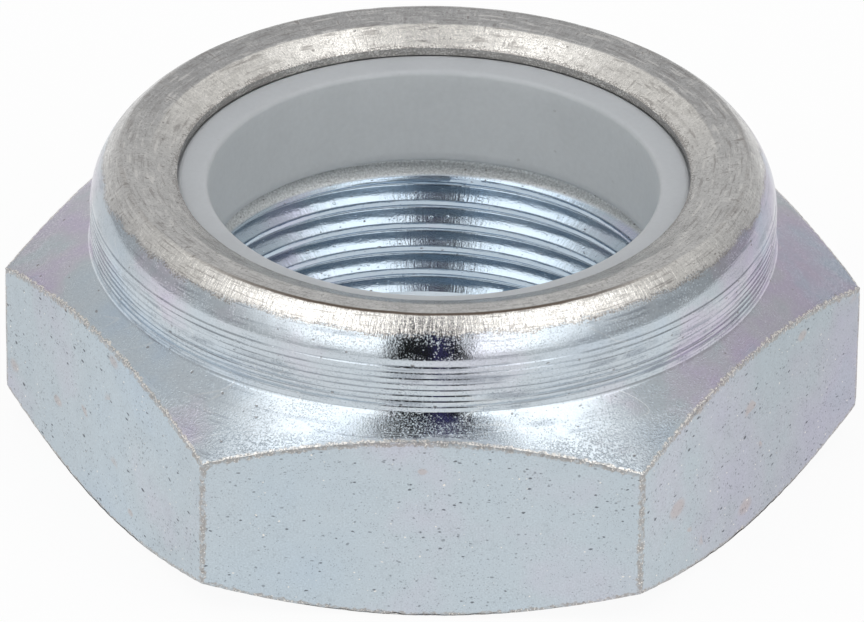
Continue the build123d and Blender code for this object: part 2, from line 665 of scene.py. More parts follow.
class Graph:
    """A node tree, with short ways to add nodes and join them."""

    def __init__(self, tree: bpy.types.NodeTree) -> None:
        """Wrap a tree."""
        self.tree = tree

    def feed(self, socket: Socket, value: Any) -> None:
        """Link a socket to an input, or set the input to a constant.

        Args:
            socket: The input.
            value: An output socket, or a plain value.
        """
        if isinstance(value, bpy.types.NodeSocket):
            self.tree.links.new(value, socket)
        else:
            socket.default_value = value

    def node(self, kind: str, inputs: Union[dict[Any, Any], None] = None, **settings: Any) -> bpy.types.Node:
        """Add a node.

        Args:
            kind: The node's type, without the leading ShaderNode.
            inputs: Values or sockets by input name or index.
            settings: The node's properties.

        Returns:
            The new node.
        """
        added = self.tree.nodes.new("ShaderNode" + kind)
        for name, value in settings.items():
            setattr(added, name, value)
        for key, value in (inputs or {}).items():
            self.feed(added.inputs[key], value)
        return added

    def math(self, operation: str, *values: Scalar) -> Socket:
        """The result of a calculation with one to three numbers."""
        return self.node("Math", dict(enumerate(values)), operation=operation).outputs[0]

    def chain(self, operation: str, first: Scalar, *others: Scalar) -> Scalar:
        """Carry a calculation with two numbers on over more of them.

        Args:
            operation: The calculation.
            first: The number that it starts from.
            others: The numbers that are taken in one after the other.

        Returns:
            The result.
        """
        for other in others:
            first = self.math(operation, first, other)
        return first

    def times(self, *values: Scalar) -> Scalar:
        """The product of some numbers."""
        return self.chain("MULTIPLY", *values)

    def plus(self, *values: Scalar) -> Scalar:
        """The sum of some numbers."""
        return self.chain("ADD", *values)

    def most(self, *values: Scalar) -> Scalar:
        """The largest of some numbers."""
        return self.chain("MAXIMUM", *values)

    def minus(self, first: Scalar, second: Scalar) -> Socket:
        """The first number less the second."""
        return self.math("SUBTRACT", first, second)

    def rest(self, value: Scalar) -> Socket:
        """What a number leaves of 1."""
        return self.minus(1.0, value)

    def inverse(self, value: Scalar) -> Socket:
        """1 divided by a number."""
        return self.math("DIVIDE", 1.0, value)

    def away(self, value: Scalar, middle: Scalar) -> Socket:
        """How far a number is from a middle, on either side."""
        return self.math("ABSOLUTE", self.minus(value, middle))

    def sloped(self, value: Scalar, slope: Scalar, start: Scalar) -> Socket:
        """A number that starts at one value and grows with another by a slope."""
        return self.math("MULTIPLY_ADD", value, slope, start)

    def step(self, value: Scalar, low: Scalar, high: Scalar) -> Socket:
        """A smooth step from 0 at low to 1 at high; high may be the smaller."""
        ends = {"Value": value, "From Min": low, "From Max": high}
        return self.node("MapRange", ends, interpolation_type="SMOOTHSTEP").outputs[0]

    def stretch(self, value: Scalar, low: Scalar, high: Scalar) -> Socket:
        """A value from 0 to 1 spread out to run from low to high."""
        return self.node("MapRange", {"Value": value, "To Min": low, "To Max": high}).outputs[0]

    def vector(self, x: Scalar, y: Scalar, z: Scalar) -> Socket:
        """A vector from three numbers."""
        return self.node("CombineXYZ", {0: x, 1: y, 2: z}).outputs[0]

    def parts(self, vector: Socket) -> tuple[Socket, ...]:
        """The three numbers of a vector."""
        return tuple(self.node("SeparateXYZ", {0: vector}).outputs)

    def scaled(self, vector: Socket, factor: Scalar) -> Socket:
        """A vector times a number."""
        return self.node("VectorMath", {0: vector, "Scale": factor}, operation="SCALE").outputs[0]

    def moved(self, vector: Socket, shift: Socket) -> Socket:
        """The sum of two vectors."""
        return self.node("VectorMath", {0: vector, 1: shift}, operation="ADD").outputs[0]

    def seeded(self, vector: Socket, seed: Scalar) -> Socket:
        """A place moved by the same seed on all three axes, so that two patterns differ."""
        return self.moved(vector, self.vector(seed, seed, seed))

    def blend(self, share: Scalar, first: Any, second: Any, kind: str = "MIX") -> Socket:
        """Blend two colours.

        Args:
            share: How much of the second there is, from 0 to 1.
            first: A colour or its socket.
            second: A colour or its socket.
            kind: The way of blending.

        Returns:
            The colour.
        """
        ends = {0: share, 6: first, 7: second}
        return self.node("Mix", ends, data_type="RGBA", blend_type=kind).outputs[2]

    def varied(self, colour: Any, mask: Scalar, low: float, high: float) -> Socket:
        """A colour made darker and lighter by a mask, between two factors."""
        return self.blend(1.0, colour, self.stretch(mask, low, high), "MULTIPLY")

    def coated(self, colour: Any, mask: Scalar, strength: float, coat: Colour) -> Socket:
        """A colour with a coat of another over it, of a strength where the mask is 1."""
        return self.blend(self.times(mask, strength), colour, coat)

    def noise(self, vector: Socket, scale: Scalar, detail: float = 2.0) -> Socket:
        """Cloudy noise from 0 to 1 at a scale in features per unit."""
        return self.node("TexNoise", {"Vector": vector, "Scale": scale, "Detail": detail}).outputs[0]

    def bumps(self, *layers: tuple[Scalar, float]) -> Socket:
        """A normal roughened by layers, one on the other.

        Args:
            layers: For each layer its height, from 0 to 1, and what a height of 1
                stands for in millimetres.

        Returns:
            The normal.
        """
        normal: dict[str, Socket] = {}
        for height, reach in layers:
            inputs = {"Height": height, "Distance": reach * MM, "Strength": 1.0, **normal}
            normal = {"Normal": self.node("Bump", inputs).outputs[0]}
        return normal["Normal"]


class Effect:
    """An effect that several finishes share: a node group, built once."""

    name: str = ""
    inputs: tuple[tuple[str, float], ...] = ()
    outputs: tuple[tuple[str, str], ...] = (("Mask", "NodeSocketFloat"),)

    def wire(self, graph: Graph, given: Any) -> dict[str, Socket]:
        """Build the nodes inside the group.

        Args:
            graph: The group's own tree.
            given: The group's inputs, by name.

        Returns:
            The socket for each output.
        """
        raise NotImplementedError

    def tree(self) -> bpy.types.NodeTree:
        """The node group, made at its first use."""
        made = bpy.data.node_groups.get(self.name)
        if made is not None:
            return made
        made = bpy.data.node_groups.new(self.name, "ShaderNodeTree")
        for name, value in self.inputs:
            socket = made.interface.new_socket(name=name, in_out="INPUT", socket_type="NodeSocketFloat")
            socket.default_value = value
        for name, kind in self.outputs:
            made.interface.new_socket(name=name, in_out="OUTPUT", socket_type=kind)
        graph = Graph(made)
        given = made.nodes.new("NodeGroupInput").outputs
        result = made.nodes.new("NodeGroupOutput")
        for name, socket in self.wire(graph, given).items():
            graph.feed(result.inputs[name], socket)
        return made

    def place(self, graph: Graph, **values: Scalar) -> Any:
        """Put the group into a material or another group.

        Args:
            graph: The tree that it goes into.
            values: Its inputs by name, with underscores for spaces.

        Returns:
            The node's outputs, by name.
        """
        added = graph.node("Group", node_tree=self.tree())
        for name, value in values.items():
            graph.feed(added.inputs[name.replace("_", " ")], value)
        return added.outputs

    def mask(self, graph: Graph, **values: Scalar) -> Socket:
        """Put the group into a tree and take its mask."""
        return self.place(graph, **values)["Mask"]


class NutPlace(Effect):
    """Where a point lies about the thread's axis, in millimetres."""

    name = "place_about_axis"
    outputs = (
        ("Position", "NodeSocketVector"),
        ("Around", "NodeSocketVector"),
        ("Radius", "NodeSocketFloat"),
        ("Height", "NodeSocketFloat"),
        ("Run", "NodeSocketFloat"),
    )

    def wire(self, graph: Graph, given: Any) -> dict[str, Socket]:
        """Build the nodes: run rises all the way down the nut's outside."""
        position = graph.scaled(graph.node("TexCoord").outputs["Object"], 1.0 / MM)
        x, y, height = graph.parts(position)
        level = graph.vector(x, y, 0.0)
        radius = graph.node("VectorMath", {0: level}, operation="LENGTH").outputs["Value"]
        around = graph.node("VectorMath", {0: level}, operation="NORMALIZE").outputs[0]
        return {
            "Position": position,
            "Around": around,
            "Radius": radius,
            "Height": height,
            "Run": graph.minus(radius, height),
        }


class AxisNoise(Effect):
    """Noise with one grain round the axis and another down the nut's outside.

    Each kind names the input that sets its grain in either direction.
    """

    round_input: str = ""
    down_input: str = ""

    def wire(self, graph: Graph, given: Any) -> dict[str, Socket]:
        """Build the nodes: noise over the direction from the axis and the run."""
        place = NutPlace().place(graph)
        around = graph.scaled(place["Around"], given[self.round_input])
        down = graph.vector(0.0, 0.0, graph.times(place["Run"], given[self.down_input]))
        return {"Mask": graph.noise(graph.moved(around, down), 1.0, 3.0)}


class TurningMarks(AxisNoise):
    """Marks that a cutting tool leaves along its way round the axis."""

    name = "turning_marks"
    inputs = (("Marks per mm", 5.0), ("Breaks", 6.0))
    round_input = "Breaks"
    down_input = "Marks per mm"


class ChatterStreaks(AxisNoise):
    """Short streaks across the turned marks, left where the rim was rolled over."""

    name = "chatter_streaks"
    inputs = (("Streaks", 60.0), ("Length", 0.35))
    round_input = "Streaks"
    down_input = "Length"


class Spots(Effect):
    """Scattered small spots, such as pits, specks or chips."""

    name = "scattered_spots"
    inputs = (("Spacing", 1.0), ("Size", 0.3), ("Amount", 0.3), ("Flatness", 1.0), ("Seed", 0.0))
    ragged_scale: float = 3.0
    ragged_reach: float = 0.25
    smallest: float = 0.35
    crowd_scale: float = 0.45
    crowd_limits: Limits = (0.3, 0.7)
    crowd_amounts: Limits = (0.2, 1.8)

    def wire(self, graph: Graph, given: Any) -> dict[str, Socket]:
        """Build the nodes: some cells of a cell pattern each hold one ragged spot."""
        place = NutPlace().place(graph)
        x, y, z = graph.parts(place["Position"])
        upright = graph.times(z, given["Flatness"])
        flattened = graph.vector(x, y, graph.plus(upright, given["Seed"]))
        wobble = graph.node("TexNoise", {"Vector": flattened, "Scale": self.ragged_scale}).outputs[1]
        ragged = graph.moved(flattened, graph.scaled(wobble, self.ragged_reach))
        density = graph.inverse(given["Spacing"])
        cells = graph.node("TexVoronoi", {"Vector": ragged, "Scale": density}).outputs
        chance = graph.node("SeparateColor", {0: cells["Color"]}).outputs
        size = graph.times(given["Size"], graph.stretch(chance[1], self.smallest, 1.0))
        spot = graph.step(cells["Distance"], size, graph.times(size, 0.5))
        crowd = graph.step(graph.noise(place["Position"], self.crowd_scale, 1.0), *self.crowd_limits)
        amount = graph.times(given["Amount"], graph.stretch(crowd, *self.crowd_amounts))
        return {"Mask": graph.times(spot, graph.math("LESS_THAN", chance[0], amount))}


class Scuffs(Effect):
    """Fine scratches that cross the surface in many directions."""

    name = "fine_scuffs"
    inputs = (("Spacing", 3.0), ("Width", 0.012), ("Amount", 0.5), ("Seed", 0.0))
    turns: tuple[Vector, ...] = (Vector((0.5, 1.1, 0.3)), Vector((2.2, 0.4, 1.5)), Vector((1.3, 2.6, 2.1)))
    slimness: Vector = Vector((0.12, 1.0, 1.0))
    break_scale: float = 2.3
    break_limits: Limits = (0.52, 0.6)

    def wire(self, graph: Graph, given: Any) -> dict[str, Socket]:
        """Build the nodes: broken contour lines of stretched noise, laid three ways."""
        position = NutPlace().place(graph)["Position"]
        scale = graph.inverse(given["Spacing"])
        result: Scalar = 0.0
        for turn in self.turns:
            slanted = graph.node("Mapping", {0: position, 2: turn, 3: self.slimness}).outputs[0]
            moved = graph.seeded(slanted, given["Seed"])
            line = graph.step(graph.away(graph.noise(moved, scale, 0.0), 0.5), given["Width"], 0.0)
            breaks = graph.noise(moved, graph.times(scale, self.break_scale), 1.0)
            result = graph.most(result, graph.times(line, graph.step(breaks, *self.break_limits)))
        return {"Mask": graph.times(result, given["Amount"])}


class PlatingTint(Effect):
    """The faint colours of the thin clear film over the zinc.

    The film is thicker towards the nut's right, and on its left only beyond the
    collar. Both sides, the right more, are darkened by a painted shade. Lengths
    are millimetres along X.
    """

    name = "plating_tint"
    inputs = (("Patch size", 9.0), ("Strength", 1.0), ("Seed", 0.0), ("Side bias", 0.12), ("Dulling", 0.14))
    outputs = (("Colour", "NodeSocketColor"),)
    tints: tuple[tuple[float, Colour], ...] = (
        (0.30, (0.88, 0.96, 1.06, 1.0)),
        (0.45, (0.97, 1.0, 1.02, 1.0)),
        (0.56, WHITE),
        (0.64, (1.08, 0.96, 1.01, 1.0)),
        (0.74, (1.09, 0.89, 1.05, 1.0)),
        (0.88, (0.95, 0.96, 1.08, 1.0)),
    )
    left_delay: float = 5.0
    film_limits: Limits = (12.0, 20.0)
    right_limits: Limits = (6.0, 20.0)
    side_limits: Limits = (12.0, 20.0)
    left_reach: float = -0.85
    side_shade_share: float = 0.6

    def wire(self, graph: Graph, given: Any) -> dict[str, Socket]:
        """Build the nodes: slow noise read through the film's run of colours."""
        position = NutPlace().place(graph)["Position"]
        slow = graph.noise(graph.seeded(position, given["Seed"]), graph.inverse(given["Patch size"]), 4.0)
        along = graph.parts(position)[0]
        beyond = graph.minus(graph.times(along, -1.0), self.left_delay)
        sideways = graph.step(graph.most(along, beyond), *self.film_limits)
        thickness = graph.plus(slow, graph.times(sideways, given["Side bias"]))
        film = graph.node("ValToRGB", {0: thickness})
        ramp = film.color_ramp.elements
        for level, _ in self.tints[2:]:
            ramp.new(level)
        for stop, (level, colour) in zip(ramp, self.tints):
            stop.position = level
            stop.color = colour
        tinted = graph.blend(given["Strength"], WHITE, film.outputs[0])
        # Painted shade: both sides of the nut, the right more, are darkened.
        side = graph.most(along, graph.times(along, self.left_reach))
        sides = graph.plus(graph.step(along, *self.right_limits), graph.step(side, *self.side_limits))
        side_shade = graph.times(sides, graph.times(given["Dulling"], self.side_shade_share))
        return {"Colour": graph.blend(1.0, tinted, graph.rest(side_shade), "MULTIPLY")}

    def tint(self, graph: Graph, colour: Colour, **values: Scalar) -> Socket:
        """Put the group into a material and tint the plating's colour with it."""
        return graph.blend(1.0, colour, self.place(graph, **values)["Colour"], "MULTIPLY")


class FineGrain(Effect):
    """The small unevenness of a plated or moulded surface."""

    name = "fine_grain"
    inputs = (("Grain size", 0.2), ("Seed", 0.0))

    def wire(self, graph: Graph, given: Any) -> dict[str, Socket]:
        """Build the nodes: noise with fine detail."""
        position = NutPlace().place(graph)["Position"]
        moved = graph.seeded(position, given["Seed"])
        return {"Mask": graph.noise(moved, graph.inverse(given["Grain size"]), 4.0)}


class EdgeWear(Effect):
    """Where edges are rubbed bright, from the wear kept on the mesh."""

    name = "edge_wear"
    inputs = (("Reach", 0.5), ("Raggedness", 0.5))
    ragged_scale: float = 3.5
    border: float = 0.25

    def wire(self, graph: Graph, given: Any) -> dict[str, Socket]:
        """Build the nodes: the kept wear, made ragged by noise."""
        kept = graph.node("Attribute", attribute_name="wear").outputs["Fac"]
        position = NutPlace().place(graph)["Position"]
        ragged = graph.minus(graph.noise(position, self.ragged_scale, 4.0), 0.5)
        uneven = graph.sloped(ragged, given["Raggedness"], kept)
        start = graph.rest(given["Reach"])
        return {"Mask": graph.step(uneven, start, graph.plus(start, self.border))}


# Finishes


def empty_material(name: str) -> tuple[Graph, bpy.types.Material]:
    """Make a material without nodes.

    Args:
        name: The material's name.

    Returns:
        Its graph and the material.
    """
    material = bpy.data.materials.new(name)
    material.use_nodes = True
    material.node_tree.nodes.clear()
    return Graph(material.node_tree), material


@dataclass(frozen=True)
class Finish:
    """What all the finishes share: a material with one principled shader.

    Lengths are millimetres. Limits are where a mask starts and where it is whole,
    and strengths are how much of a colour lies over the one below it.
    """

    name: str
    colour: Colour

    def look(self, graph: Graph) -> dict[str, Any]:
        """Build the nodes that make the look.

        Args:
            graph: The material's tree.

        Returns:
            The shader's inputs, by name.
        """
        raise NotImplementedError

    def build(self) -> bpy.types.Material:
        """Build the material."""
        graph, material = empty_material(self.name)
        shader = graph.node("BsdfPrincipled", self.look(graph))
        graph.node("OutputMaterial", {"Surface": shader.outputs[0]})
        return material


@dataclass(frozen=True)
class PlatedFlats(Finish):
    """Zinc plating on the hexagon's flats: satin, pitted and stained."""

    pit_colour: Colour = (0.12, 0.13, 0.15, 1.0)
    stain_colour: Colour = (0.55, 0.44, 0.40, 1.0)
    edge_colour: Colour = (0.36, 0.32, 0.29, 1.0)
    fleck_colour: Colour = (0.90, 0.87, 0.82, 1.0)
    stain_strength: float = 0.45
    edge_strength: float = 0.7
    edge_gap_limits: Limits = (0.36, 0.58)
    edge_gap_level: float = 0.35
    pit_dirt: float = 0.8
    dot_dirt: float = 0.5
    dust_dirt: float = 0.35
    crowd_dirt: float = 0.42
    crowd_grain_limits: Limits = (0.55, 0.66)
    crowd_cloud_limits: Limits = (0.50, 0.62)
    smear_dirt: float = 0.10
    smear_mottle_limits: Limits = (0.56, 0.68)
    smear_cloud_limits: Limits = (0.52, 0.38)
    fleck_limits: Limits = (0.56, 0.66)
    roughness: float = 0.40
    roughness_spread: float = 0.08
    dirt_roughness: float = 0.2
    grain_relief: float = 0.012
    dirt_relief: float = 0.015

    def dirt(self, graph: Graph, grain: Socket, cloud: Socket, mottle: Socket) -> Socket:
        """How much dirt lies in the pits, the dots and the dust, and smeared between them.

        Args:
            graph: The material's tree.
            grain: The plating's grain.
            cloud: Slow noise that gathers the dirt in some places.
            mottle: Noise a little coarser than the grain.

        Returns:
            The mask of the dirt.
        """
        pits = Spots().mask(graph, Spacing=0.9, Size=0.24, Amount=0.48, Flatness=2.0)
        dots = Spots().mask(graph, Spacing=0.40, Size=0.28, Amount=0.75, Flatness=1.4, Seed=11.0)
        dust = Spots().mask(graph, Spacing=0.22, Size=0.36, Amount=0.95, Flatness=1.2, Seed=19.0)
        crowd = graph.times(
            graph.step(grain, *self.crowd_grain_limits), graph.step(cloud, *self.crowd_cloud_limits)
        )
        smear = graph.times(
            graph.step(mottle, *self.smear_mottle_limits), graph.step(cloud, *self.smear_cloud_limits)
        )
        kinds = (
            (pits, self.pit_dirt),
            (dots, self.dot_dirt),
            (dust, self.dust_dirt),
            (crowd, self.crowd_dirt),
            (smear, self.smear_dirt),
        )
        return graph.most(*(graph.times(mask, strength) for mask, strength in kinds))

    def look(self, graph: Graph) -> dict[str, Any]:
        """Build the nodes: tinted plating, stains, dirt, and edges rubbed bright."""
        specks = Spots().mask(graph, Spacing=0.40, Size=0.20, Amount=0.30, Flatness=1.3, Seed=7.0)
        blots = Spots().mask(graph, Spacing=3.4, Size=0.30, Amount=0.30, Flatness=1.5, Seed=3.0)
        grain = FineGrain().mask(graph, Grain_size=0.10)
        cloud = FineGrain().mask(graph, Grain_size=1.7, Seed=8.0)
        mottle = FineGrain().mask(graph, Grain_size=0.26, Seed=31.0)
        dirt = self.dirt(graph, grain, cloud, mottle)
        gaps = graph.stretch(graph.step(mottle, *self.edge_gap_limits), self.edge_gap_level, 1.0)
        edge = graph.times(EdgeWear().mask(graph, Reach=0.60, Raggedness=1.3), gaps)
        flecks = graph.times(edge, graph.step(grain, *self.fleck_limits))
        colour = PlatingTint().tint(graph, self.colour, Patch_size=11.0, Strength=0.55, Seed=4.0)
        colour = graph.varied(colour, cloud, 0.92, 1.08)
        colour = graph.varied(colour, grain, 0.74, 1.26)
        colour = graph.coated(colour, blots, self.stain_strength, self.stain_colour)
        colour = graph.blend(dirt, colour, self.pit_colour)
        colour = graph.coated(colour, edge, self.edge_strength, self.edge_colour)
        colour = graph.blend(graph.most(flecks, specks), colour, self.fleck_colour)
        low, high = self.roughness - self.roughness_spread, self.roughness + self.roughness_spread
        return {
            "Base Color": colour,
            "Metallic": 1.0,
            "Roughness": graph.sloped(dirt, self.dirt_roughness, graph.stretch(cloud, low, high)),
            "Normal": graph.bumps((grain, self.grain_relief), (graph.rest(dirt), self.dirt_relief)),
        }


@dataclass(frozen=True)
class RimNoises:
    """The noises that the rim's bare metal is made of."""

    streaks: Socket
    scrapes: Socket
    grooves: Socket
    marks: Socket
    cloud: Socket
    blotches: Socket
    coarse: Socket
    speckle: Socket

    @classmethod
    def put(cls, graph: Graph, cloud: Socket) -> "RimNoises":
        """Put the noises into a material.

        Args:
            graph: The material's tree.
            cloud: Slow noise that the plating uses too.

        Returns:
            The noises.
        """
        return cls(
            streaks=ChatterStreaks().mask(graph, Streaks=120.0, Length=0.5),
            scrapes=ChatterStreaks().mask(graph, Streaks=60.0, Length=1.6),
            grooves=TurningMarks().mask(graph, Marks_per_mm=6.0, Breaks=5.0),
            marks=TurningMarks().mask(graph, Marks_per_mm=7.0, Breaks=9.0),
            cloud=cloud,
            blotches=FineGrain().mask(graph, Grain_size=0.9, Seed=14.0),
            coarse=FineGrain().mask(graph, Grain_size=0.24, Seed=27.0),
            speckle=FineGrain().mask(graph, Grain_size=0.10, Seed=17.0),
        )


@dataclass(frozen=True)
class BareRim:
    """The rim where rolling has rubbed its plating off.

    Lengths are millimetres. Front and back limits are read on the direction from
    the axis, whose Y is -1 at the very front and 1 at the very back.
    """

    colour: Colour = (0.585, 0.58, 0.57, 1.0)
    painted_highlight_colour: Colour = (0.80, 0.78, 0.74, 1.0)
    back_shade_colour: Colour = (0.44, 0.44, 0.44, 1.0)
    streak_highlight_colour: Colour = (0.86, 0.84, 0.81, 1.0)
    scrape_and_shade_colour: Colour = (0.20, 0.18, 0.17, 1.0)
    rust_and_shade_colour: Colour = (0.15, 0.115, 0.09, 1.0)
    outer_radius: float = 18.15
    lowest_height: float = 15.2
    corner_radius: float = 17.2
    knee_radius: float = 15.7
    border: float = 0.12
    front_limits: Limits = (-0.3, -0.8)
    frontmost_limits: Limits = (-0.62, -0.95)
    back_limits: Limits = (-0.1, 0.6)
    patch_limits: Limits = (0.52, 0.66)
    patch_strength: float = 0.45
    back_shade_strength: float = 0.85
    streak_limits: Limits = (0.46, 0.64)
    streak_strength: float = 0.6
    shine_limits: Limits = (0.56, 0.68)
    shine_strength: float = 0.5
    scrape_limits: Limits = (0.58, 0.68)
    scrape_strengths: Limits = (0.15, 0.6)
    line_limits: Limits = (0.44, 0.30)
    line_strength: float = 0.5
    groove_limits: Limits = (0.54, 0.70)
    groove_strengths: Limits = (0.24, 0.1)
    speck_limits: Limits = (0.40, 0.28)
    speck_strengths: Limits = (0.8, 0.25)
    lip_limits: Limits = (14.3, 14.08)
    lip_strength: float = 0.6
    crease_limits: Limits = (0.18, 0.05)
    broken_limits: Limits = (0.42, 0.60)
    broken_strength: float = 0.2

    def darkened(self, graph: Graph, made: RimNoises, place: Any, ragged: Socket, areas: Any) -> Socket:
        """Where scrapes, tool lines, grooves, specks and the tip's shade darken the metal.

        Args:
            graph: The material's tree.
            made: The rim's noises.
            place: The outputs of the place group.
            ragged: Noise in millimetres that breaks up borders.
            areas: The masks of the patches, the front and the painted highlight.

        Returns:
            The mask of the dark marks.
        """
        patches, front, painted_highlight = areas
        scrapes = graph.step(made.scrapes, *self.scrape_limits)
        scrapes = graph.times(scrapes, graph.stretch(patches, *self.scrape_strengths))
        lines = graph.times(graph.step(made.marks, *self.line_limits), self.line_strength)
        grooves = graph.step(made.grooves, *self.groove_limits)
        grooves = graph.times(grooves, graph.stretch(front, *self.groove_strengths))
        specks = graph.step(made.speckle, *self.speck_limits)
        specks = graph.times(specks, graph.stretch(painted_highlight, *self.speck_strengths))
        uneven = graph.plus(ragged, graph.stretch(made.speckle, -0.5, 0.5))
        # Painted shade: the metal beside the rim's tip is darkened.
        lip = graph.step(graph.plus(place["Radius"], uneven), *self.lip_limits)
        shade = graph.times(lip, self.lip_strength)
        return graph.most(scrapes, graph.most(lines, grooves), specks, shade)

    def crease(self, graph: Graph, made: RimNoises, place: Any, ragged: Socket, facing: Socket) -> Socket:
        """A dark line along the rim's corner: a painted shade, whole at the front, faint broken patches
        elsewhere.

        Args:
            graph: The material's tree.
            made: The rim's noises.
            place: The outputs of the place group.
            ragged: Noise in millimetres that breaks up borders.
            facing: The Y part of the direction from the axis.

        Returns:
            The mask of the crease.
        """
        wavering = graph.sloped(ragged, 0.2, place["Radius"])
        near = graph.step(graph.away(wavering, self.corner_radius), *self.crease_limits)
        broken = graph.times(graph.step(made.blotches, *self.broken_limits), self.broken_strength)
        return graph.times(near, graph.most(graph.step(facing, *self.frontmost_limits), broken))

    def look(self, graph: Graph, place: Any, cloud: Socket) -> tuple[Socket, Socket, Socket]:
        """Build the nodes of the bare metal.

        Args:
            graph: The material's tree.
            place: The outputs of the place group.
            cloud: Slow noise that makes the border ragged.

        Returns:
            The mask of the bare part, its colour and its height for the bump.
        """
        made = RimNoises.put(graph, cloud)
        radius = place["Radius"]
        facing = graph.parts(place["Around"])[1]
        ragged = graph.plus(
            graph.stretch(made.cloud, -0.35, 0.35),
            graph.stretch(made.marks, -0.15, 0.15),
            graph.stretch(made.speckle, -0.25, 0.25),
        )
        inside = graph.step(
            graph.plus(radius, ragged), self.outer_radius + self.border, self.outer_radius - self.border
        )
        bare = graph.times(inside, graph.step(place["Height"], self.lowest_height, self.lowest_height + 0.1))
        front = graph.step(facing, *self.front_limits)
        back = graph.step(facing, *self.back_limits)
        outside = graph.step(radius, self.corner_radius - 0.15, self.corner_radius + 0.05)
        patches = graph.step(made.blotches, *self.patch_limits)
        # Chatter streaks, real marks, painted lighter as a highlight, most on the outer bend at the front.
        combed = graph.most(
            graph.times(outside, graph.stretch(front, 0.25, 1.0)), graph.times(patches, self.patch_strength)
        )
        light = graph.times(graph.step(made.streaks, *self.streak_limits), combed)
        wavering = graph.sloped(ragged, 0.35, radius)
        face = graph.step(wavering, self.knee_radius + 0.05, self.knee_radius - 0.1)
        # Painted highlight: the outer bend at the front and the inner face at the back are painted lighter.
        painted_highlight = graph.most(graph.times(outside, front), graph.times(face, back))
        # Painted shade: the rim's top is painted darker at the back.
        pressed = graph.times(graph.rest(face), back)
        dark = self.darkened(graph, made, place, ragged, (patches, front, painted_highlight))
        colour = graph.blend(painted_highlight, self.colour, self.painted_highlight_colour)
        colour = graph.coated(colour, pressed, self.back_shade_strength, self.back_shade_colour)
        colour = graph.varied(colour, made.coarse, 0.74, 1.26)
        colour = graph.varied(colour, made.blotches, 0.86, 1.14)
        colour = graph.varied(colour, made.speckle, 0.66, 1.34)
        colour = graph.coated(colour, light, self.streak_strength, self.streak_highlight_colour)
        # Painted sheen: turning marks painted lighter.
        shine = graph.step(made.marks, *self.shine_limits)
        colour = graph.coated(colour, shine, self.shine_strength, self.streak_highlight_colour)
        colour = graph.blend(dark, colour, self.scrape_and_shade_colour)
        # Painted shade along the rim's corner, strongest at the front.
        colour = graph.blend(self.crease(graph, made, place, ragged, facing), colour, self.rust_and_shade_colour)
        raised = graph.sloped(light, 0.6, graph.times(made.speckle, 0.5))
        raised = graph.plus(raised, graph.times(made.marks, 0.5))
        return bare, colour, graph.times(graph.minus(raised, dark), bare)


